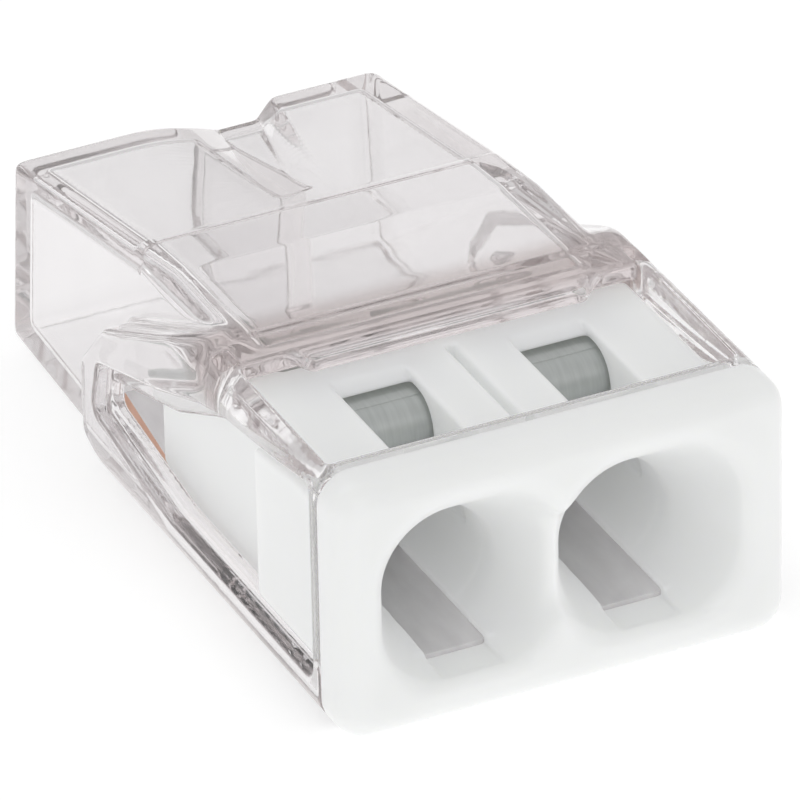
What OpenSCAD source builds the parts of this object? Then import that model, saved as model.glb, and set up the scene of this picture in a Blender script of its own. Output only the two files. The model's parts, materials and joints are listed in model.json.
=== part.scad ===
// Two-wire push-in connector: a clear housing, a white wire-entry insert, a tinned
// copper current bar and one stainless clamp spring for each wire.
// The wire face looks towards -Y, and the origin is at the middle of the underside.

/* [Overall] */
// Width across the wire face
body_w = 10; // [9.8:0.1:10.4]
// Height of the wire face
body_h = 5.9; // [5.85:0.05:6.1]
// Length from the wire face to the rear end
body_l = 17.6; // [17.4:0.1:18.4]
// Corner radius of the wire face and of the collar behind it
corner_r = 0.75; // [0.6:0.05:0.9]

/* [Wire face] */
// Thickness of the face plate
plate_t = 1.04; // [1:0.02:1.2]
// Radius of the face plate's front edges
plate_edge_r = 0.6; // [0.4:0.05:0.7]
// Distance between the two wire centres
wire_pitch = 3.95; // [3.9:0.05:4]
// Height of the wire centres above the underside
wire_z = 2.3; // [2.3:0.01:2.36]
// Diameter of the round throat that guides a stripped wire
throat_d = 2.7; // [2.6:0.05:2.7]
// Diameter of a funnel at the wire face
funnel_d = 4.2; // [4:0.05:4.3]
// Height of a funnel's centre at the wire face
funnel_z = 2.95; // [2.85:0.05:3]
// Depth of the funnels
funnel_l = 1.5; // [1.3:0.05:1.6]

/* [Insert body] */
// Width of the insert body inside the housing
insert_w = 8.6; // [8.5:0.05:8.6]
// Height of the insert's top face
insert_top = 5.3; // [5.2:0.05:5.35]
// Distance from the wire face to the insert's rear end
insert_l = 10; // [9.8:0.05:10.1]
// Width of the chamber around each clamp spring
chamber_w = 2.9; // [2.85:0.05:3]
// Distance from the wire face to the front of the chambers
chamber_y = 3.4; // [3.3:0.05:3.5]
// Width of each test slot
test_slot_w = 1.5; // [1.4:0.05:1.7]
// Sideways width of the snap lugs, beyond the insert body
lug_out = 0.55; // [0.4:0.05:0.6]

/* [Housing] */
// Thickness of the floor under the current bar
floor_t = 0.42; // [0.4:0.01:0.42]
// Wall thickness of the rear block
wall_t = 0.55; // [0.5:0.05:0.6]
// Thickness of the roof over the insert
roof_t = 0.45; // [0.4:0.05:0.5]
// Distance from the wire face to the front edge of the roof
roof_y = 5.6; // [5.5:0.05:5.7]
// Width of the opening over the insert's top face
top_window_w = 9; // [8.8:0.05:9.1]
// Width of the rear block
rear_w = 8.6; // [8.4:0.1:8.6]
// Height of the rear block at its rear end
rear_h = 4.5; // [4.4:0.05:4.6]
// Distance from the wire face to the crest of the rear block
crest_y = 11.5; // [11.3:0.1:11.8]
// Height of the crest
crest_z = 5.62; // [5.55:0.01:5.7]
// Width of the valley between the two rear lobes
valley_w = 3; // [2.8:0.1:3.2]
// Depth of the valley at the rear end
valley_d = 0.5; // [0.3:0.05:0.5]
// Thickness of the rib between the two wire chambers
rib_t = 0.6; // [0.5:0.05:0.8]

/* [Metal parts] */
// Thickness of the current bar
bar_t = 0.5; // [0.4:0.02:0.5]
// Width of the current bar
bar_w = 8.4; // [8.2:0.05:8.5]
// Width of the current bar's front stretch, between the insert's skirts
bar_front_w = 7.9; // [7.8:0.05:7.9]
// Distance from the wire face to the front edge of the bar
bar_y = 1.25; // [1.2:0.05:1.4]
// Distance from the wire face to the bar's upward bend
bar_bend_y = 8.7; // [8.6:0.05:8.8]
// Slope of the bar behind its bend
bar_slope = 13; // [12:0.5:13]
// Distance from the wire face to the rear edge of the bar
bar_end_y = 12.15; // [12:0.05:12.2]
// Thickness of the spring strip
strip_t = 0.22; // [0.18:0.01:0.22]
// Width of the moving clamp tongue
tongue_w = 2.2; // [2:0.05:2.3]
// Width of the fixed spring leg
leg_w = 2.7; // [2.6:0.05:2.75]
// Distance from the wire face to the centre of the spring's bend
bend_y = 4.35; // [4.3:0.01:4.4]
// Height of the centre of the spring's bend
bend_z = 4.37; // [4.35:0.01:4.38]
// Outer radius of the spring's bend
bend_r = 0.6; // [0.56:0.01:0.6]
// Slope of the closed clamp tongue
tongue_slope = 38; // [37:0.5:40]
// Distance from the wire face to the tip of the closed tongue
tongue_tip_y = 7.72; // [7.6:0.01:7.75]

/* [Hidden] */
$fn = 48;
tiny = 0.01;             // how far a cutter runs past the face it opens
gap = 0.02;              // assembly gap between touching pieces
arc_steps = 6;           // straight steps in each rounded corner of an outline
wire_x = wire_pitch/2;
bar_z = floor_t + gap;   // underside of the current bar
bar_top = bar_z + bar_t;
roof_z = body_h - roof_t;
insert_half = insert_w/2;
pocket_half = insert_half + 0.05;
rear_half = rear_w/2;
tail_rise = 0.3;         // how far the underside rises towards the rear end
rear_slope = atan((crest_z - rear_h)/(body_l - crest_y));
wing_end_y = 12.65;      // rear end of the side wings
window_y = plate_t + 0.41;  // front edge of the windows, behind the collar's ring
mid_r = bend_r - strip_t/2; // radius of the middle of the spring strip in its bend
tongue_turn = 270 - tongue_slope; // where the tongue leaves the bend, from +Y round to +Z
bend_gap = 3;            // angle left open between the leg's bend and the tongue's
leg_open_top = 3.2;      // top of the window that the wire passes through
lug_end_y = 4.3;         // rear end of the snap lugs, and of the skirts under them

// ---------- outlines ----------

function unit(v) = v/norm(v);

// Points of an outline whose corners are given as [across, up, radius]
function rounded(corners) = [
    for (i = [0:len(corners) - 1])
        let (n = len(corners), c = corners[i], b = [c[0], c[1]],
             before = corners[(i + n - 1) % n], after = corners[(i + 1) % n],
             u = unit([before[0], before[1]] - b), v = unit([after[0], after[1]] - b))
        each c[2] == 0 ? [b] : corner_arc(b, u, v, c[2])];

// Arc of radius r that rounds corner b between the directions u and v
function corner_arc(b, u, v, r) =
    let (half = acos(u*v)/2, centre = b + unit(u + v)*r/sin(half),
         first = b + u*r/tan(half) - centre, last = b + v*r/tan(half) - centre,
         start = atan2(first[1], first[0]), turn = atan2(last[1], last[0]) - start,
         sweep = turn > 180 ? turn - 360 : turn < -180 ? turn + 360 : turn)
    [for (k = [0:arc_steps]) centre + r*[cos(start + sweep*k/arc_steps), sin(start + sweep*k/arc_steps)]];

// Points of a flat strip of width t that follows the middle line given
function strip(line, t) = concat(
    [for (i = [0:len(line) - 1]) line[i] + side_of(line, i)*t/2],
    [for (i = [len(line) - 1:-1:0]) line[i] - side_of(line, i)*t/2]);

// Direction across a line at its point i, long enough to keep the strip's width at bends
function side_of(line, i) =
    let (n = len(line), back = unit(line[max(i, 1)] - line[max(i, 1) - 1]),
         ahead = unit(line[min(i + 1, n - 1)] - line[min(i + 1, n - 1) - 1]),
         mean = unit(back + ahead))
    [-mean[1], mean[0]]/(mean*ahead);

// Middle line of the spring's bend between two angles measured from +Y round to +Z
function bend_line(from, to) = [
    for (k = [0:12]) let (a = from + (to - from)*k/12) [bend_y + mid_r*cos(a), bend_z + mid_r*sin(a)]];

// Side outline of the collar with its two wings
wing_outline = rounded([[plate_t, 0, 0], [11.4, 0, 1], [wing_end_y, 0.75, 0.4], [wing_end_y, 2.5, 0.6],
    [11.5, 3.75, 0.8], [9, 4.92, 1], [7, body_h, 0.5], [plate_t, body_h, 0]]);

// Side outline of the rear block
rear_outline = rounded([[6.6, 0, 0], [12.5, 0, 0], [body_l, tail_rise, 0.5], [body_l, rear_h, 0.5],
    [crest_y, crest_z, 0.5], [9.6, 5.85, 0], [6.6, body_h, 0]]);

// Side outline of the space for the insert and the metal parts
pocket_outline = [[0.9, floor_t], [bar_bend_y + 0.1, floor_t],
    [bar_end_y + 0.1, floor_t + (bar_end_y - bar_bend_y)*tan(bar_slope)], [bar_end_y + 0.1, 2.1],
    [10.1, 3.15], [7.2, 4.6], [6, roof_z], [0.9, roof_z]];

// Side outline of the insert body
body_outline = [[0.9, bar_z], [bar_y - gap, bar_z], [bar_y - gap, bar_top + gap],
    [bar_bend_y, bar_top + gap],
    [insert_l, bar_top + gap + (insert_l - bar_bend_y)*tan(bar_slope)],
    [insert_l, 3.1], [7.2, 4.45], [5.9, insert_top], [0.9, insert_top]];

// Side outline of the opening that shows the insert through a wing
window_outline = rounded([[window_y, 1.2, 0.2], [8.1, 1.2, 0], [11.75, 1.75, 0.2], [11.6, 2.35, 0.15],
    [8.4, 3.3, 0.3], [6.5, 4.2, 0.3], [5.3, 4.7, 0], [window_y, 5.25, 0.2]]);

// Side outline of the shallow recess around that opening
recess_outline = rounded([[window_y, 1, 0.2], [8.2, 1, 0], [11.95, 1.6, 0.3], [11.6, 2.85, 0.3],
    [8.7, 3.75, 0.3], [6.6, 4.55, 0.3], [5.5, 4.85, 0], [window_y, 5.4, 0.2]]);

// ---------- placing ----------

// Moves a piece drawn from the wire face back to the middle of the underside
module from_face() { translate([0, -body_l/2, 0]) children(); }

// Solid with the side outline given, from x0 to x1
module side_slab(x0, x1, outline) {
    translate([x0, 0, 0]) rotate([90, 0, 90]) linear_extrude(x1 - x0) polygon(outline);
}

// Box given by its lowest and highest corners
module block(low, high) { translate(low) cube(high - low); }

// The piece and its mirror image across the middle
module both_sides() { children(); mirror([1, 0, 0]) children(); }

// Rectangle centred on x = 0 that stands on y = 0, with round corners
module round_rect(w, h, r) {
    translate([-w/2 + r, 0]) square([w - 2*r, h]);
    translate([-w/2, r]) square([w, h - 2*r]);
    for (x = [r - w/2, w/2 - r], y = [r, h - r]) translate([x, y]) circle(r);
}

// Upright outline of size w by h run back from y0 to y1
module face_slab(y0, y1, w, h, r) {
    translate([0, y1, 0]) rotate([90, 0, 0]) linear_extrude(y1 - y0) round_rect(w, h, r);
}

// ---------- clear housing ----------

module clear_housing() {
    color([0.84, 0.82, 0.81, 0.45]) from_face() difference() {
        union() {
            intersection() {
                side_slab(-body_w/2, body_w/2, wing_outline);
                face_slab(plate_t, wing_end_y, body_w, body_h, corner_r);
            }
            rear_block();
        }
        side_slab(-pocket_half, pocket_half, pocket_outline);
        wire_chambers();
        top_window();
        both_sides() {
            side_slab(pocket_half - tiny, body_w/2 + tiny, window_outline);
            side_slab(body_w/2 - 0.35, body_w/2 + tiny, recess_outline);
            block([4.42, roof_y + 0.2, 4.6], [4.75, roof_y + 0.8, body_h + tiny]);
        }
    }
}

// Height of the valley's bottom at the distance y from the wire face
function valley_z(y) = crest_z - (crest_z - rear_h + valley_d)*(y - crest_y)/(body_l - crest_y);

// Block behind the collar: two lobes with a valley between them, which deepens to the rear
module rear_block() {
    difference() {
        intersection() {
            side_slab(-rear_half, rear_half, rear_outline);
            union() {
                face_slab(6.6, crest_y, rear_w, body_h, 0.4);
                translate([0, crest_y, crest_z]) rotate([-rear_slope, 0, 0])
                    translate([0, 0, -crest_z - 1]) face_slab(-0.1, 8, rear_w, crest_z + 1, 0.4);
            }
        }
        side_slab(-valley_w/2, valley_w/2, [[crest_y, crest_z], [body_l + 1, valley_z(body_l + 1)],
            [body_l + 1, crest_z + 0.4], [crest_y, crest_z + 0.4]]);
    }
}

// Hollow for the end of each wire, under the roof and behind the insert
module wire_chambers() {
    inner = rear_half - wall_t;
    rear_y = body_l - wall_t;
    difference() {
        union() {
            side_slab(-inner, inner, [[4, floor_t], [12.5, floor_t], [rear_y, floor_t + tail_rise],
                [rear_y, valley_z(rear_y) - wall_t], [crest_y, crest_z - wall_t - 0.1],
                [4, roof_z - 0.15]]);
            both_sides() side_slab(valley_w/2 + 0.4, inner, [[crest_y - 0.5, 4.6], [rear_y, 1],
                [rear_y, rear_h - wall_t], [crest_y, crest_z - wall_t]]);
        }
        block([-rib_t/2, bar_end_y + 0.3, 0], [rib_t/2, body_l, body_h]);
    }
}

// Opening over the insert's top face, with a lip left under the roof's front edge
module top_window() {
    difference() {
        block([-top_window_w/2, window_y, roof_z - 0.1], [top_window_w/2, roof_y, body_h + tiny]);
        side_slab(-3.2, 3.2, [[roof_y - 0.35, roof_z], [roof_y + 0.1, roof_z],
            [roof_y + 0.1, roof_z + 0.24], [roof_y - 0.35, roof_z + 0.24]]);
    }
}

// ---------- wire-entry insert ----------

module wire_entry_insert() {
    color([0.93, 0.94, 0.94]) from_face() difference() {
        union() {
            face_plate();
            side_slab(-insert_half, insert_half, body_outline);
            both_sides() side_slab(insert_half - tiny, insert_half + lug_out,
                [[window_y + 0.05, 1.3], [lug_end_y, 1.3], [lug_end_y, 4.75], [window_y + 0.05, 5.1]]);
            both_sides() block([bar_front_w/2 + gap, bar_y - gap - tiny, bar_z],
                [insert_half, lug_end_y, bar_top + gap + tiny]);
        }
        for (x = [-wire_x, wire_x]) translate([x, 0, 0]) wire_way();
        block([-0.13, window_y, 4.3], [0.13, roof_y - 0.3, insert_top + tiny]);
        block([-2, -tiny, 2.1], [2, 0.35, 3.9]);
    }
}

// Front plate with round corners and edges
module face_plate() {
    hull() {
        for (x = [-1, 1], z = [corner_r, body_h - corner_r]) translate([x*(body_w/2 - corner_r), 0, z]) {
            translate([0, plate_t, 0]) rotate([90, 0, 0]) cylinder(h = plate_t - plate_edge_r, r = corner_r, $fn = 32);
            translate([0, plate_edge_r, 0]) rotate([90, 0, 0]) rotate_extrude($fn = 32)
                intersection() {
                    union() {
                        square([corner_r - plate_edge_r, plate_edge_r]);
                        translate([corner_r - plate_edge_r, 0]) circle(plate_edge_r, $fn = 32);
                    }
                    square(corner_r);
                }
        }
    }
}

// Funnel, throat, spring chamber and test slot of one wire, centred on x = 0
module wire_way() {
    half = chamber_w/2;
    translate([0, -tiny, 0]) hull() {
        translate([0, 0, funnel_z]) rotate([-90, 0, 0]) cylinder(h = tiny, d = funnel_d, $fn = 32);
        translate([0, funnel_l, wire_z]) rotate([-90, 0, 0]) cylinder(h = tiny, d = throat_d, $fn = 32);
    }
    translate([0, 1, wire_z]) rotate([-90, 0, 0]) cylinder(h = chamber_y, d = throat_d);
    block([-throat_d/4, bar_y, 0], [throat_d/4, chamber_y + 1, wire_z]);
    block([-half, chamber_y, 0], [half, 6, bend_z + bend_r + 0.06]);
    block([-half, 5.9, 0], [half, insert_l + 1, body_h]);
    side_slab(-test_slot_w/2, test_slot_w/2, [[window_y, 3.95], [chamber_y + 0.1, 3.95],
        [chamber_y + 0.1, 5], [4.25, 5.03], [4.85, insert_top + tiny], [window_y, insert_top + tiny]]);
}

// ---------- current bar ----------

module current_bar() {
    slope_end = [bar_end_y, bar_z + bar_t/2 + (bar_end_y - bar_bend_y)*tan(bar_slope)];
    color([0.78, 0.77, 0.76]) from_face() difference() {
        side_slab(-bar_w/2, bar_w/2,
            strip([[bar_y, bar_z + bar_t/2], [bar_bend_y, bar_z + bar_t/2], slope_end], bar_t));
        for (x = [-wire_x, wire_x], s = [-1, 1]) translate([x + s*(leg_w/2 - 0.175), 0, 0])
            block([-0.2, 10.35, 0], [0.2, 10.65, 2]);
        both_sides() block([bar_front_w/2, bar_y - 1, 0], [body_w/2, lug_end_y + gap, 2]);
    }
}

// ---------- clamp springs ----------

// Fixed leg: from the bend back under the roof and down to the bar, with a window for the wire
module spring_leg(x) {
    foot_y = 10.5;
    foot_z = bar_z + 0.25 + (foot_y - bar_bend_y)*tan(bar_slope);
    line = concat([[foot_y, foot_z], [foot_y, 3.05], [6.9, bend_z + mid_r]], bend_line(90, 180 - bend_gap));
    color([0.72, 0.73, 0.74]) from_face() translate([x, 0, 0]) difference() {
        side_slab(-leg_w/2, leg_w/2, strip(line, strip_t));
        block([-leg_w/2 + 0.35, 9.6, 0], [leg_w/2 - 0.35, 11, leg_open_top]);
        both_sides() block([tongue_w/2, 3, 0], [leg_w, bend_y - 0.2, body_h]);
    }
}

// Moving tongue: the lower part of the bend and the blade that grips the wire
module clamp_tongue(x) {
    start = bend_line(180, tongue_turn);
    root = start[len(start) - 1];
    run = tongue_tip_y - root[0];
    line = concat(start, [root + run*[1, -tan(tongue_slope)]]);
    color([0.8, 0.81, 0.82]) from_face() translate([x, 0, 0])
        side_slab(-tongue_w/2, tongue_w/2, strip(line, strip_t));
}

clear_housing();
wire_entry_insert();
current_bar();
spring_leg(-wire_x);  // left_spring_leg
spring_leg(wire_x);  // right_spring_leg
clamp_tongue(-wire_x);  // left_clamp_tongue
clamp_tongue(wire_x);  // right_clamp_tongue
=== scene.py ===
"""Looks of a two-wire push-in connector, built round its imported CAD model.

The two plastic mouldings are solid fields: signed distances, in millimetres, on a regular grid, which are
joined and cut with a radius at each edge, as a mould leaves them, and then turned into meshes. The springs
are bent sheet. Everything is drawn with y counted from the wire face, and placed in the CAD model's frame.
"""
import json
import math

import bmesh
import bpy
import numpy as np
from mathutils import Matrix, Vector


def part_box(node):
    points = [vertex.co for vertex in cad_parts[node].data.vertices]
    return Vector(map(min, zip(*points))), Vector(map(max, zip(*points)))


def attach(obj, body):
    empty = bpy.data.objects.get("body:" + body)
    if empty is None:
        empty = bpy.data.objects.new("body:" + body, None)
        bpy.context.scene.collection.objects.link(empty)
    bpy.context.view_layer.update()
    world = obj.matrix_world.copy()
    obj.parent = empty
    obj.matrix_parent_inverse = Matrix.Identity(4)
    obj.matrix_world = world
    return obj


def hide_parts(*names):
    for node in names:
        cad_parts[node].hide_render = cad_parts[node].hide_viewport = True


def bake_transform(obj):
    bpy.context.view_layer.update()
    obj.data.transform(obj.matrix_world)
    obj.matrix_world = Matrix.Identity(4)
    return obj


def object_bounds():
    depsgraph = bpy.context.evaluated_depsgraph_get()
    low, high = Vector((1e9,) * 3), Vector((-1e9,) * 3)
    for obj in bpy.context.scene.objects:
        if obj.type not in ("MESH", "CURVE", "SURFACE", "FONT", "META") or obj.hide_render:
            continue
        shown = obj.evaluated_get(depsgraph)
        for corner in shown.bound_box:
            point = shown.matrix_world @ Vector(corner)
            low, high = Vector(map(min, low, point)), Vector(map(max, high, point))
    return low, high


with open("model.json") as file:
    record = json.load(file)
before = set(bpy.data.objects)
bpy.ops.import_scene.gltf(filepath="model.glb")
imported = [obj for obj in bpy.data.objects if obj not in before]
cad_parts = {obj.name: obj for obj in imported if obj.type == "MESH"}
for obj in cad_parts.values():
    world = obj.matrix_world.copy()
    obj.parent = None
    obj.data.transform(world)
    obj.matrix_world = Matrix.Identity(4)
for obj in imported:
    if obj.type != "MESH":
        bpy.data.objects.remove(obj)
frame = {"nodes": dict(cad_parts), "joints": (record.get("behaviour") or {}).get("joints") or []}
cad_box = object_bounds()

import openvdb
from mathutils import Matrix, Vector

MM = 0.001
WIDTH, LENGTH, HEIGHT = [(cad_box[1][i] - cad_box[0][i]) / MM for i in range(3)]
FACE_Y = cad_box[0][1] / MM             # the wire face's place in the CAD frame
HALF_W = WIDTH / 2
STEP = 0.04      # spacing of the grids
GRID_SHIFT = 0.0137                     # an odd distance, so that no flat face falls exactly on grid points
MARGIN = 0.2                            # room round a piece on its grid

# Sizes that the CAD model gives
insert_low, insert_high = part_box("wire_entry_insert")
housing_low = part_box("clear_housing")[0]
bar_low, bar_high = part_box("current_bar")
leg_low, leg_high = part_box("right_spring_leg")
tongue_low, tongue_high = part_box("right_clamp_tongue")
PLATE_T = (housing_low.y - insert_low.y) / MM
WIRE_X = (tongue_low.x + tongue_high.x) / 2 / MM
INSERT_L = insert_high.y / MM - FACE_Y
BAR_Y = bar_low.y / MM - FACE_Y
BAR_END_Y = bar_high.y / MM - FACE_Y
BAR_TOP = 0.94
TONGUE_W = (tongue_high.x - tongue_low.x) / MM
LEG_W = (leg_high.x - leg_low.x) / MM
HINGE = {j["name"]: Vector(j["pos_m"]) for j in frame["joints"]}
BEND_Y = HINGE["right_clamp_hinge"].y / MM - FACE_Y
BEND_Z = HINGE["right_clamp_hinge"].z / MM

# Sizes of the mouldings, in millimetres
CORNER_R = 0.75
WIRE_Z = 2.3
THROAT_R = 1.35
INSERT_HALF = 4.3
INSERT_TOP = 5.3
POCKET_HALF = 4.35
FLOOR_T = 0.42
WALL_T = 0.55
ROOF_Z = 5.45
ROOF_Y = 5.6
WINDOW_Y = 1.45
REAR_HALF = 4.42                        # at the underside; the walls lean inwards by the draft
DRAFT = 0.045
REAR_H = 4.58
VALLEY_D = 0.5
CREST_Y, CREST_Z = 11.5, 5.62
WING_END_Y = 12.65
CHAMBER_Y = 3.4
LUG_END_Y = 4.3
STRIP_T = 0.22
BEND_R = 0.49                            # middle of the strip
GAP = 0.02                              # between the bar and the insert
THROAT_FLOOR = 1.08
CHAMBER_HALF = 1.45
CHAMBER_TOP = 5.03
BEND_ROOM = 0.16                        # from the middle of the bent strip to the insert
SLOT_HALF = 0.8
GROOVE_HALF, GROOVE_Z = 0.1, 2.2


# ---------- signed-distance fields ----------

def grid(low, high):
    """x, y and z along a grid's three sides, shaped so that they combine into the whole grid."""
    sides = [np.arange(a - MARGIN - GRID_SHIFT, b + MARGIN, STEP, dtype=np.float32) for a, b in zip(low, high)]
    return sides[0][:, None, None], sides[1][None, :, None], sides[2][None, None, :]


def both(a, b, r=0.0):
    """What two fields share, with the edge between them rounded to radius r."""
    corner = np.hypot(np.maximum(a + r, 0), np.maximum(b + r, 0))
    return np.minimum(np.maximum(a, b), -r) + corner


def join(a, b, r=0.0):
    """Two fields together, with the hollow edge between them filled to radius r."""
    return -both(-a, -b, r)


def cut(a, b, r=0.0):
    """Field a without field b, with the new edges rounded to radius r."""
    return both(a, -b, r)


def span(v, low, high):
    """Field of the space between two flat faces."""
    return np.abs(v - (low + high) / 2) - (high - low) / 2


def block(g, low, high, r=0.0):
    """Box with its edges rounded to radius r."""
    x, y, z = [span(v, a, b) for v, a, b in zip(g, low, high)]
    return both(both(x, y, r), z, r)


def section(u, v, half_u, low_v, high_v, r):
    """Rectangle centred on u = 0, from low_v to high_v, with round corners."""
    return both(np.abs(u) - half_u, span(v, low_v, high_v), r)


def rounded(corners, steps=6):
    """Points of an outline whose corners are given as (across, up, radius)."""
    points = []
    n = len(corners)
    for i, (a, b, r) in enumerate(corners):
        here = np.array([a, b])
        if r == 0:
            points.append(here)
            continue
        u, v = [np.array(corners[k][:2]) - here for k in (i - 1, (i + 1) % n)]
        u, v = u / np.linalg.norm(u), v / np.linalg.norm(v)
        half = math.acos(u @ v) / 2
        centre = here + (u + v) / np.linalg.norm(u + v) * r / math.sin(half)
        first, last = [here + w * r / math.tan(half) - centre for w in (u, v)]
        start = math.atan2(first[1], first[0])
        sweep = (math.atan2(last[1], last[0]) - start + math.pi) % (2 * math.pi) - math.pi
        for k in range(steps + 1):
            angle = start + sweep * k / steps
            points.append(centre + r * np.array([math.cos(angle), math.sin(angle)]))
    return points


def outline(u, v, corners):
    """Field of a closed outline in the plane of u and v."""
    points = rounded(corners)
    nearest, inside = np.float32(1e9), False
    for (a, b), (c, d) in zip(points, points[1:] + points[:1]):
        along, up = c - a, d - b
        t = np.clip(((u - a) * along + (v - b) * up) / (along**2 + up**2 + 1e-12), 0, 1)
        nearest = np.minimum(nearest, (u - a - t * along) ** 2 + (v - b - t * up) ** 2)
        crosses = ((v > b) != (v > d)) & (u < along * (v - b) / (up + 1e-12) + a)
        inside = inside ^ crosses
    return np.where(inside, -1, 1) * np.sqrt(nearest)


def surface(name, field, g):
    """Mesh of the surface where a field is zero, placed in the CAD frame."""
    vdb = openvdb.FloatGrid(background=1.0)
    vdb.copyFromArray(np.ascontiguousarray(field, dtype=np.float32))
    points, triangles, quads = vdb.convertToPolygons(isovalue=0.0)
    points = points * STEP + np.array([v.min() for v in g]) + np.array([0, FACE_Y, 0])
    mesh = bpy.data.meshes.new(name)
    mesh.from_pydata(points * MM, [], [list(f[::-1]) for f in quads] + [list(f[::-1]) for f in triangles])
    mesh.validate()
    outward = bmesh.new()
    outward.from_mesh(mesh)
    if outward.calc_volume(signed=True) < 0:
        bmesh.ops.reverse_faces(outward, faces=outward.faces)
    outward.to_mesh(mesh)
    outward.free()
    piece = bpy.data.objects.new(name, mesh)
    bpy.context.scene.collection.objects.link(piece)
    smooth = piece.modifiers.new("smooth", "SMOOTH")
    smooth.factor, smooth.iterations = 0.5, 12
    apply_modifiers(piece)
    piece.data.shade_smooth()
    return piece


def apply_modifiers(piece):
    """Replaces a piece's mesh by what its modifiers make of it."""
    bpy.context.view_layer.update()
    made = bpy.data.meshes.new_from_object(piece.evaluated_get(bpy.context.evaluated_depsgraph_get()))
    piece.modifiers.clear()
    piece.data = made


# ---------- clear housing ----------

WING = [(0, 0, 0), (11.4, 0, 1), (WING_END_Y, 0.75, 0.4), (WING_END_Y, 2.5, 0.6),
        (11.5, 3.75, 0.8), (9, 4.92, 1), (7, HEIGHT, 0.5), (0, HEIGHT, 0)]
REAR = [(6.6, 0, 0), (12.5, 0, 0), (LENGTH, 0.3, 0.3), (LENGTH, REAR_H, 0.3),
        (CREST_Y, CREST_Z, 0.25), (9.6, 5.86, 0), (6.6, HEIGHT, 0)]
POCKET = [(0, FLOOR_T, 0), (8.8, FLOOR_T, 0), (12.25, 1.22, 0.1), (12.25, 2.1, 0.2),
          (10.1, 3.15, 0.3), (7.2, 4.6, 0.3), (6, ROOF_Z, 0.2), (0, ROOF_Z, 0)]
CHAMBER = [(4, FLOOR_T, 0), (12.5, FLOOR_T, 0), (LENGTH - WALL_T, 0.72, 0.3),
           (LENGTH - WALL_T, REAR_H - WALL_T + 0.1, 0.3), (CREST_Y, CREST_Z - WALL_T, 0.3), (4, 5.35, 0)]
SIDE_WINDOW = [(WINDOW_Y, 1.2, 0.2), (8.1, 1.2, 0.5), (11.75, 1.75, 0.2), (11.6, 2.35, 0.15),
               (8.4, 3.3, 0.3), (6.5, 4.2, 0.3), (5.3, 4.7, 0), (WINDOW_Y, 5.25, 0.2)]
RECESS = [(WINDOW_Y, 1, 0.2), (8.2, 1, 0.5), (11.95, 1.6, 0.3), (11.6, 2.85, 0.3),
          (8.7, 3.75, 0.3), (6.6, 4.55, 0.3), (5.5, 4.85, 0), (WINDOW_Y, 5.4, 0.2)]


def rear_top(x, y):
    """Height of the rear block's top: two lobes, and between them a valley that deepens to the rear."""
    back = np.clip((y - CREST_Y) / (LENGTH - CREST_Y), 0, 1.1)
    left, left_foot = 0.95 * back - 2.5, 1.4 * back - 0.9
    right_foot, right = 1.7 * back - 0.3, 1.35 * back + 0.45
    fall = np.clip((x - left) / (left_foot - left), 0, 1) ** 1.6
    rise = np.clip((right - x) / (right - right_foot), 0, 1)
    ridge = CREST_Z - (CREST_Z - REAR_H) * (y - CREST_Y) / (LENGTH - CREST_Y)
    return ridge + 0.015 * (x - 4) - VALLEY_D * back * np.minimum(fall, rise)


def housing_outside(x, y, z):
    """Collar with its wings, and the rear block with two lobes and the valley between them."""
    collar = both(outline(y, z, WING), section(x, z, HALF_W, 0, HEIGHT, CORNER_R), 0.2)
    collar = both(collar, PLATE_T - y)
    rear = both(outline(y, z, REAR), np.abs(x) - REAR_HALF + DRAFT * z, 0.25)
    valley = both((rear_top(x, y) - z) * 0.9, CREST_Y - y)
    return join(collar, cut(rear, valley, 0.15), 0.12)


def housing_hollow(x, y, z):
    """Space for the insert and the metal parts, and a chamber for the end of each wire."""
    pocket = both(outline(y, z, POCKET), np.abs(x) - POCKET_HALF, 0.1)
    inner = np.abs(x) - REAR_HALF + WALL_T + DRAFT * z
    chamber = both(outline(y, z, CHAMBER), inner, 0.2)
    roof = (z - rear_top(x, y) + WALL_T) * 0.9
    chamber = both(chamber, np.where(y > CREST_Y, roof, -1), 0.2)
    rib = block((x, y, z), (-0.3, BAR_END_Y + 0.3, -1), (0.3, LENGTH + 1, HEIGHT + 1))
    return join(pocket, cut(chamber, rib, 0.15), 0.1)


def rod(g, start, end, r):
    """Round rod between two points."""
    axis = np.subtract(end, start)
    reach = [v - a for v, a in zip(g, start)]
    t = np.clip(sum(v * a for v, a in zip(reach, axis)) / (axis @ axis), 0, 1)
    return np.sqrt(sum((v - t * a) ** 2 for v, a in zip(reach, axis))) - r


def top_window(x, y, z):
    """Opening over the insert, less the lip under the roof's front edge and the lip's two end rods."""
    opening = block((x, y, z), (-4.5, WINDOW_Y, ROOF_Z - 0.3), (4.5, ROOF_Y, HEIGHT + 1), 0.12)
    lip = block((x, y, z), (-3, ROOF_Y - 0.35, ROOF_Z - 0.02), (3, ROOF_Y + 0.4, ROOF_Z + 0.24), 0.08)
    upper, lower = (3.42, ROOF_Y + 0.05, HEIGHT - 0.12), (3, ROOF_Y - 0.27, ROOF_Z + 0.11)
    end = rod((np.abs(x), y, z), upper, lower, 0.12)
    return cut(opening, join(lip, end, 0.08), 0.06)


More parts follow.
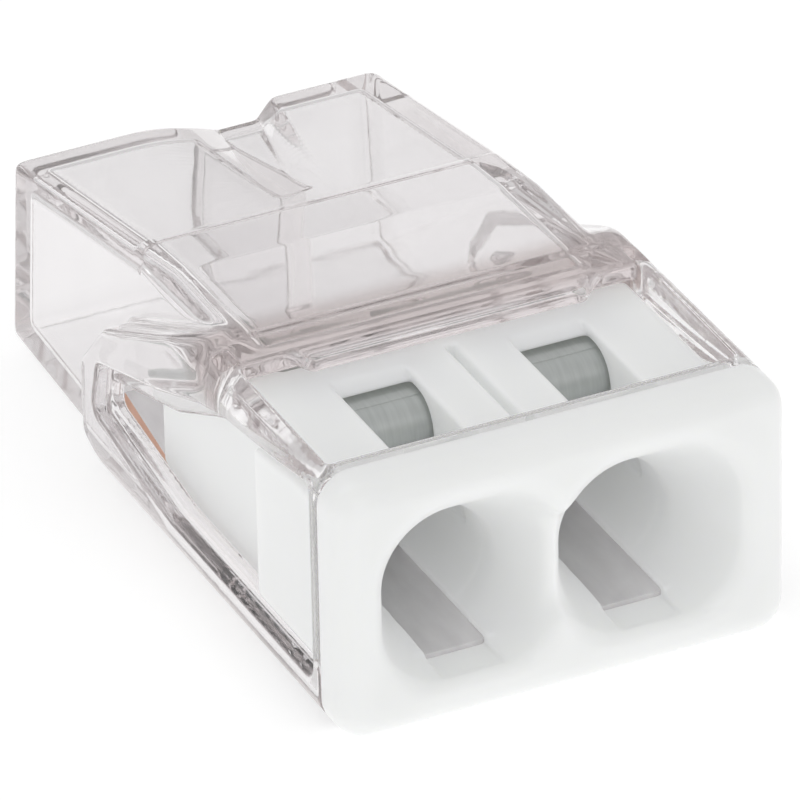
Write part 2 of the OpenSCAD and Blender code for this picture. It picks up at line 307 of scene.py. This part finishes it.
def clear_housing():
    g = grid((-HALF_W, PLATE_T, 0), (HALF_W, LENGTH, HEIGHT))
    x, y, z = g
    body = cut(housing_outside(x, y, z), housing_hollow(x, y, z), 0.06)
    body = cut(body, top_window(x, y, z), 0.08)
    window = both(outline(y, z, SIDE_WINDOW), POCKET_HALF - 0.2 - np.abs(x))
    recess = both(outline(y, z, RECESS), HALF_W - 0.35 - np.abs(x), 0.1)
    body = cut(cut(body, recess, 0.12), window, 0.1)
    pits = both(block((x, y, z), (-9, ROOF_Y + 0.2, 4.6), (9, ROOF_Y + 0.8, 9)),
                span(np.abs(x), 4.42, 4.75), 0.05)
    body = cut(body, pits, 0.06)
    piece = surface("clear_housing_shell", body, g)
    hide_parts("clear_housing")
    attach(piece, "connector")
    piece.data.materials.append(clear_plastic())
    return piece


# ---------- wire-entry insert ----------

INSERT_SIDE = [(0.5, 0.44, 0), (8.7, 0.44, 0), (INSERT_L, 0.74, 0), (INSERT_L, 3.1, 0.2),
               (7.2, 4.45, 0.4), (5.9, INSERT_TOP, 0.2), (0.5, INSERT_TOP, 0)]
BAR_SPACE = [(BAR_Y - GAP, 0, 0), (INSERT_L + 1, 0, 0), (INSERT_L + 1, 1.49, 0),
             (8.7, BAR_TOP + GAP, 0), (BAR_Y - GAP, BAR_TOP + GAP, 0)]
TEST_SLOT = [(WINDOW_Y - 0.1, 4.45, 0), (3, 4.05, 0.2), (4.7, 4.05, 0), (4.7, 5.12, 0),
             (5.15, INSERT_TOP + 0.05, 0), (5.15, INSERT_TOP + 1, 0), (WINDOW_Y - 0.1, INSERT_TOP + 1, 0)]


def funnel(x, y, z):
    """Mouth that narrows from a rounded square at the face to the round throat."""
    share = np.clip(1 - y / 2.4, 0, 1.2)
    half = THROAT_R + 0.75 * share**1.3
    centre = WIRE_Z + 0.65 * share
    inside = both(np.abs(x) - half, np.abs(z - centre) - half, half * (1 - 0.25 * share))
    low = np.where(y < 1.1, 0.9, THROAT_FLOOR)
    return both(both(inside * 0.85, low - z, 0.1), y - 2.6)


def wire_way(x, y, z):
    """Throat, slot over the bar and spring chamber of one wire, centred on x = 0."""
    g = (x, y, z)
    half = THROAT_R / 2
    throat = both(np.hypot(x, z - WIRE_Z) - THROAT_R, THROAT_FLOOR - z, 0.1)
    way = both(throat, span(y, 1.5, 5.3))
    way = join(way, block(g, (-half, 0.35, BAR_TOP - 0.04), (half, 5.3, WIRE_Z)))
    way = join(way, block(g, (-half, BAR_Y - GAP, -1), (half, 5.3, WIRE_Z)))
    way = join(way, block(g, (-CHAMBER_HALF, CHAMBER_Y, WIRE_Z), (CHAMBER_HALF, 6, 3.8)))
    way = join(way, block(g, (-CHAMBER_HALF, CHAMBER_Y + 0.28, WIRE_Z), (CHAMBER_HALF, 6, BEND_Z)))
    bend = np.hypot(y - BEND_Y, z - BEND_Z) - BEND_R - BEND_ROOM
    way = join(way, both(bend, np.abs(x) - CHAMBER_HALF))
    way = join(way, block(g, (-CHAMBER_HALF, BEND_Y, WIRE_Z), (CHAMBER_HALF, 6, CHAMBER_TOP)))
    way = join(way, block(g, (-CHAMBER_HALF, 5.2, -1), (CHAMBER_HALF, 6, 3)))
    return join(way, block(g, (-CHAMBER_HALF, 5.9, -1), (CHAMBER_HALF, INSERT_L + 1, 9)))


def test_slot(x, y, z):
    """Trough in front of the spring's bend, which shows at its rear end under a sloped hood."""
    return both(outline(y, z, TEST_SLOT), section(x, z, SLOT_HALF, 4.0, 9, 0.25), 0.05)


def wire_entry_insert():
    g = grid((-HALF_W, 0, 0), (HALF_W, INSERT_L, HEIGHT))
    x, y, z = g
    plate = both(section(x, z, HALF_W, 0, HEIGHT, CORNER_R), -y, 0.6)
    plate = both(plate, y - PLATE_T, 0.04)
    body = both(outline(y, z, INSERT_SIDE), np.abs(x) - INSERT_HALF, 0.1)
    lug = both(block((x, y, z), (-9, WINDOW_Y + 0.05, 1.3), (9, LUG_END_Y, 5.1), 0.1), np.abs(x) - 4.85, 0.12)
    lug = both(lug, z - 5.15 + 0.14 * (y - WINDOW_Y), 0.1)
    piece = join(join(plate, body), lug, 0.06)
    recess = both(section(x, z - 2.9, 1.9, -0.95, 0.95, 0.8), y - 0.35, 0.1)
    wire = np.abs(x) - WIRE_X
    piece = cut(piece, join(funnel(wire, y, z), recess, 0.5), 0.3)
    bar = both(outline(y, z, BAR_SPACE), np.where(y < LUG_END_Y, np.abs(x) - 3.97, -1))
    piece = cut(piece, bar, 0.03)
    piece = cut(piece, wire_way(wire, y, z), 0.05)
    piece = cut(piece, test_slot(wire, y, z), 0.06)
    groove = block((x, y, z), (-GROOVE_HALF, WINDOW_Y, GROOVE_Z), (GROOVE_HALF, 5.3, 9))
    piece = cut(piece, groove, 0.02)
    piece = surface("wire_entry_insert_body", piece, g)
    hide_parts("wire_entry_insert")
    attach(piece, "connector")
    piece.data.materials.append(white_plastic())
    return piece


# ---------- springs and current bar ----------

def arc(start, end, steps=24):
    """Points of the spring's bend, between two angles measured from +Y round to +Z."""
    angles = np.radians(np.linspace(start, end, steps + 1))
    return [(BEND_Y + BEND_R * math.cos(a), BEND_Z + BEND_R * math.sin(a)) for a in angles]


def straight(a, b, steps):
    """Points from a to b, without a itself."""
    return [tuple(np.add(a, np.subtract(b, a) * k / steps)) for k in range(1, steps + 1)]


def sheet_strip(name, line, half_width, x, window=None):
    """Strip of spring sheet along a line of (y, z) points, with a hole between the two that window names."""
    across = sorted({-half_width, -half_width + 0.35, half_width - 0.35, half_width})
    mesh = bpy.data.meshes.new(name)
    points = [((x + a) * MM, (y + FACE_Y) * MM, z * MM) for y, z in line for a in across]
    faces = []
    for i in range(len(line) - 1):
        for k in range(len(across) - 1):
            if window and k == 1 and window[0] <= i < window[1]:
                continue
            n = i * len(across) + k
            faces.append((n, n + 1, n + 1 + len(across), n + len(across)))
    mesh.from_pydata(points, [], faces)
    piece = bpy.data.objects.new(name, mesh)
    bpy.context.scene.collection.objects.link(piece)
    thick = piece.modifiers.new("thickness", "SOLIDIFY")
    thick.thickness, thick.offset = STRIP_T * MM, 0
    thick.use_even_offset = True
    edge = piece.modifiers.new("edges", "BEVEL")
    edge.width, edge.segments = 0.035 * MM, 2
    edge.limit_method, edge.angle_limit = "ANGLE", math.radians(50)
    apply_modifiers(piece)
    piece.data.shade_smooth()
    return piece


def spring(side, x):
    """Fixed leg, and the bend with its tongue."""
    foot_y = 10.5
    top = (BEND_Y, BEND_Z + BEND_R)
    shoulder, knee, foot = (6.9, top[1]), (foot_y, 3.05), (foot_y, 1.11)
    leg = [top] + straight(top, shoulder, 8) + straight(shoulder, knee, 12) + straight(knee, foot, 8)
    piece = sheet_strip(f"{side}_spring_leg_strip", leg, LEG_W / 2, x, window=(17, 28))
    finish_spring(piece, f"{side}_spring_leg")
    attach(piece, "connector")
    turn = 270 - 38
    bend = arc(90, turn, 30)
    root = bend[-1]
    tip = (tongue_high.y / MM - FACE_Y - 0.06, tongue_low.z / MM + 0.1)
    piece = sheet_strip(f"{side}_clamp_tongue_strip", bend + straight(root, tip, 16), TONGUE_W / 2, x)
    finish_spring(piece, f"{side}_clamp_tongue")
    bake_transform(piece)


def finish_spring(piece, node):
    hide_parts(node)
    piece.data.materials.append(spring_steel())


def current_bar():
    """The CAD bar, with its edges eased, tin on its faces and copper where it was cut."""
    bar = frame["nodes"]["current_bar"]
    edge = bar.modifiers.new("edges", "BEVEL")
    edge.width, edge.segments = 0.04 * MM, 2
    edge.limit_method, edge.angle_limit = "ANGLE", math.radians(40)
    bar.material_slots[0].link = "OBJECT"
    bar.material_slots[0].material = tinned_copper()


# ---------- materials ----------

def material(name):
    """A new material's node tree and its Principled node."""
    made = bpy.data.materials.new(name)
    made.use_nodes = True
    return made, made.node_tree, made.node_tree.nodes["Principled BSDF"]


def noise(nt, size_mm, detail=2.0, stretch=(1, 1, 1)):
    """Noise whose grains are about size_mm across, drawn out along an axis by stretch."""
    coords = nt.nodes.new("ShaderNodeTexCoord")
    mapping = nt.nodes.new("ShaderNodeMapping")
    mapping.inputs["Scale"].default_value = [1 / s for s in stretch]
    made = nt.nodes.new("ShaderNodeTexNoise")
    made.inputs["Scale"].default_value = 1 / (size_mm * MM)
    made.inputs["Detail"].default_value = detail
    nt.links.new(coords.outputs["Object"], mapping.inputs["Vector"])
    nt.links.new(mapping.outputs["Vector"], made.inputs["Vector"])
    return made.outputs["Fac"]


def between(nt, factor, low, high):
    """A number from low to high as factor goes from 0.3 to 0.7, the usual spread of noise."""
    made = nt.nodes.new("ShaderNodeMapRange")
    for name, value in (("From Min", 0.3), ("From Max", 0.7), ("To Min", low), ("To Max", high)):
        made.inputs[name].default_value = value
    nt.links.new(factor, made.inputs["Value"])
    return made.outputs["Result"]


def blend_colour(nt, factor, low, high):
    """A colour from low to high as factor goes from 0.3 to 0.7."""
    ramp = nt.nodes.new("ShaderNodeValToRGB")
    ramp.color_ramp.elements[0].position, ramp.color_ramp.elements[1].position = 0.3, 0.7
    ramp.color_ramp.elements[0].color, ramp.color_ramp.elements[1].color = (*low, 1), (*high, 1)
    nt.links.new(factor, ramp.inputs["Fac"])
    return ramp.outputs["Color"]


def ramp_up(nt, position, start_mm, end_mm):
    """0 before start, 1 after end, and smooth between; with start past end it falls instead."""
    made = nt.nodes.new("ShaderNodeMapRange")
    made.interpolation_type = "SMOOTHSTEP"
    falls = start_mm > end_mm
    made.inputs["From Min"].default_value = min(start_mm, end_mm) * MM
    made.inputs["From Max"].default_value = max(start_mm, end_mm) * MM
    made.inputs["To Min"].default_value, made.inputs["To Max"].default_value = (1, 0) if falls else (0, 1)
    nt.links.new(position, made.inputs["Value"])
    return made.outputs["Result"]


def product(nt, a, b):
    made = nt.nodes.new("ShaderNodeMath")
    made.operation = "MULTIPLY"
    nt.links.new(a, made.inputs[0])
    nt.links.new(b, made.inputs[1])
    return made.outputs["Value"]


def bump(nt, shader, height, depth_mm):
    """Relief of the given depth on a shader."""
    made = nt.nodes.new("ShaderNodeBump")
    made.inputs["Strength"].default_value = 1.0
    made.inputs["Distance"].default_value = depth_mm * MM
    nt.links.new(height, made.inputs["Height"])
    nt.links.new(made.outputs["Normal"], shader.inputs["Normal"])


def clear_plastic():
    """Polycarbonate: clear and polished, with a moulded wall's slow ripple, and painted shade: a brownish
    darkening on a band of the roof behind its front edge.
    """
    made, nt, shader = material("clear_plastic")
    shader.inputs["Transmission Weight"].default_value = 1.0
    shader.inputs["IOR"].default_value = 1.58
    smoke = blend_colour(nt, noise(nt, 2.5), (0.925, 0.915, 0.92), (0.95, 0.942, 0.946))
    coords = nt.nodes.new("ShaderNodeTexCoord")
    parts = nt.nodes.new("ShaderNodeSeparateXYZ")
    nt.links.new(coords.outputs["Object"], parts.inputs["Vector"])
    # Painted shade: the roof's band behind its front edge, above 4.6 mm, is darkened to a brownish grey for
    # the shade inside that shows through it.
    painted_shade_band = ramp_up(nt, parts.outputs["Y"], FACE_Y + ROOF_Y - 0.1, FACE_Y + ROOF_Y + 0.1)
    painted_shade_band = product(nt, painted_shade_band, ramp_up(nt, parts.outputs["Y"], FACE_Y + ROOF_Y + 1.9, FACE_Y + ROOF_Y + 1.2))
    painted_shade_band = product(nt, painted_shade_band, ramp_up(nt, parts.outputs["Z"], 4.6, 5.1))
    mix = nt.nodes.new("ShaderNodeMix")
    mix.data_type = "RGBA"
    nt.links.new(painted_shade_band, mix.inputs["Factor"])
    nt.links.new(smoke, mix.inputs["A"])
    # brownish grey of the painted shade on the roof's band
    mix.inputs["B"].default_value = (0.62, 0.56, 0.55, 1)
    nt.links.new(mix.outputs["Result"], shader.inputs["Base Color"])
    nt.links.new(between(nt, noise(nt, 0.8), 0.02, 0.06), shader.inputs["Roughness"])
    bump(nt, shader, noise(nt, 1.6, 1.0), 0.005)
    through = nt.nodes.new("ShaderNodeBsdfTransparent")
    through.inputs["Color"].default_value = (0.96, 0.955, 0.955, 1)
    path = nt.nodes.new("ShaderNodeLightPath")
    mix = nt.nodes.new("ShaderNodeMixShader")
    nt.links.new(path.outputs["Is Shadow Ray"], mix.inputs["Fac"])
    nt.links.new(shader.outputs["BSDF"], mix.inputs[1])
    nt.links.new(through.outputs["BSDF"], mix.inputs[2])
    nt.links.new(mix.outputs["Shader"], nt.nodes["Material Output"].inputs["Surface"])
    depth = nt.nodes.new("ShaderNodeVolumeAbsorption")
    depth.inputs["Color"].default_value = (0.70, 0.62, 0.62, 1)
    depth.inputs["Density"].default_value = 55
    nt.links.new(depth.outputs["Volume"], nt.nodes["Material Output"].inputs["Volume"])
    return made


def white_plastic():
    """Polyamide: white with a hint of green, softly glossy, with a fine eroded mould finish.

    A little light of its own stands in for what thin white walls let through.
    """
    made, nt, shader = material("white_plastic")
    nt.links.new(blend_colour(nt, noise(nt, 2.5), (0.735, 0.743, 0.74), (0.75, 0.758, 0.755)),
                 shader.inputs["Base Color"])
    nt.links.new(between(nt, noise(nt, 0.6), 0.285, 0.33), shader.inputs["Roughness"])
    bump(nt, shader, noise(nt, 0.12), 0.0003)
    shader.inputs["Subsurface Weight"].default_value = 0.6
    shader.inputs["Subsurface Radius"].default_value = (1.0, 1.0, 0.9)
    shader.inputs["Subsurface Scale"].default_value = 0.9 * MM
    shader.inputs["Emission Color"].default_value = (1, 1, 1, 1)
    shader.inputs["Emission Strength"].default_value = 0.13
    shader.inputs["IOR"].default_value = 1.53
    return made


def spring_steel():
    """Stainless strip, with fine rolling lines along its length."""
    made, nt, shader = material("spring_steel")
    shader.inputs["Metallic"].default_value = 1.0
    lines = noise(nt, 0.06, 3.0, stretch=(1, 14, 14))
    nt.links.new(blend_colour(nt, lines, (0.47, 0.49, 0.48), (0.53, 0.55, 0.54)), shader.inputs["Base Color"])
    nt.links.new(between(nt, lines, 0.3, 0.38), shader.inputs["Roughness"])
    bump(nt, shader, lines, 0.0001)
    return made


def tinned_copper():
    """Tin plating with a soft mottle, and bare copper on the cut sides."""
    made, nt, shader = material("tinned_copper")
    shader.inputs["Metallic"].default_value = 0.6
    tin = blend_colour(nt, noise(nt, 0.5, 4.0, stretch=(1, 4, 1)), (0.82, 0.80, 0.81), (0.92, 0.905, 0.91))
    coords = nt.nodes.new("ShaderNodeTexCoord")
    parts = nt.nodes.new("ShaderNodeSeparateXYZ")
    nt.links.new(coords.outputs["Normal"], parts.inputs["Vector"])
    sideways = nt.nodes.new("ShaderNodeMath")
    sideways.operation = "ABSOLUTE"
    nt.links.new(parts.outputs["X"], sideways.inputs[0])
    mix = nt.nodes.new("ShaderNodeMix")
    mix.data_type = "RGBA"
    nt.links.new(sideways.outputs["Value"], mix.inputs["Factor"])
    nt.links.new(tin, mix.inputs["A"])
    mix.inputs["B"].default_value = (0.80, 0.50, 0.38, 1)
    nt.links.new(mix.outputs["Result"], shader.inputs["Base Color"])
    nt.links.new(between(nt, noise(nt, 0.3, 4.0), 0.42, 0.6), shader.inputs["Roughness"])
    bump(nt, shader, noise(nt, 0.15, 3.0, stretch=(1, 3, 1)), 0.001)
    return made


# ---------- stage ----------

def floor():
    """Pale floor that gives some light of its own, so that it stays white round and under the housing."""
    bpy.ops.mesh.primitive_plane_add(size=1.2, location=(0, 0, cad_box[0][2] - 0.02 * MM))
    plane = bpy.context.object
    plane.name = "floor"
    made, nt, shader = material("pale_floor")
    shader.inputs["Base Color"].default_value = (0.6, 0.6, 0.6, 1)
    shader.inputs["Roughness"].default_value = 0.9
    shader.inputs["Emission Color"].default_value = (1, 1, 1, 1)
    shader.inputs["Emission Strength"].default_value = 0.54
    plane.data.materials.append(made)


def softbox(name, at, size, watts):
    """Square area light aimed at the object; at is in millimetres."""
    data = bpy.data.lights.new(name, "AREA")
    data.energy, data.size = watts, size * MM
    lamp = bpy.data.objects.new(name, data)
    bpy.context.scene.collection.objects.link(lamp)
    lamp.location = Vector(at) * MM
    lamp.rotation_euler = (-Vector(at)).to_track_quat("-Z", "Y").to_euler()


def lights():
    softbox("top_light", (-60, 80, 200), 160, 0.05)
    softbox("front_light", (-30, -200, 100), 160, 0.05)
    world = bpy.data.worlds.new("studio")
    bpy.context.scene.world = world
    world.use_nodes = True
    nt = world.node_tree
    coords = nt.nodes.new("ShaderNodeTexCoord")
    parts = nt.nodes.new("ShaderNodeSeparateXYZ")
    ramp = nt.nodes.new("ShaderNodeValToRGB")
    ramp.color_ramp.elements[0].color = (0.7, 0.69, 0.69, 1)
    ramp.color_ramp.elements[1].position = 0.35
    nt.links.new(coords.outputs["Generated"], parts.inputs["Vector"])
    nt.links.new(parts.outputs["Z"], ramp.inputs["Fac"])
    nt.links.new(ramp.outputs["Color"], nt.nodes["Background"].inputs["Color"])
    nt.nodes["Background"].inputs["Strength"].default_value = 0.72


def camera():
    """A long lens, close to a drawing's parallel view, that looks down on the wire face from its left."""
    azimuth, elevation, roll = [math.radians(v) for v in (-25.1, 30.8, -1.2)]
    back = Vector((math.sin(azimuth) * math.cos(elevation),
                   -math.cos(azimuth) * math.cos(elevation), math.sin(elevation)))
    right = Vector((0, 0, 1)).cross(back).normalized()
    up = back.cross(right)
    right, up = math.cos(roll) * right + math.sin(roll) * up, math.cos(roll) * up - math.sin(roll) * right
    aim = Vector((0, -0.8, 3.0)) + 0.14 * right - 0.38 * up
    data = bpy.data.cameras.new("camera")
    data.lens, data.sensor_width = 450, 36
    data.clip_start, data.clip_end = 0.005, 5
    cam = bpy.data.objects.new("camera", data)
    bpy.context.scene.collection.objects.link(cam)
    turn = Matrix((right, up, back)).transposed().to_4x4()
    cam.matrix_world = Matrix.Translation((aim + 204.1 * back) * MM) @ turn
    bpy.context.scene.camera = cam


camera()
clear_housing()
wire_entry_insert()
for side, x in (("left", -WIRE_X), ("right", WIRE_X)):
    spring(side, x)
current_bar()
floor()
lights()
scene = bpy.context.scene
scene.view_settings.view_transform = "Standard"
scene.cycles.max_bounces = 32
scene.cycles.transmission_bounces = 32
scene.cycles.glossy_bounces = 28
scene.cycles.diffuse_bounces = 10

bpy.context.view_layer.update()
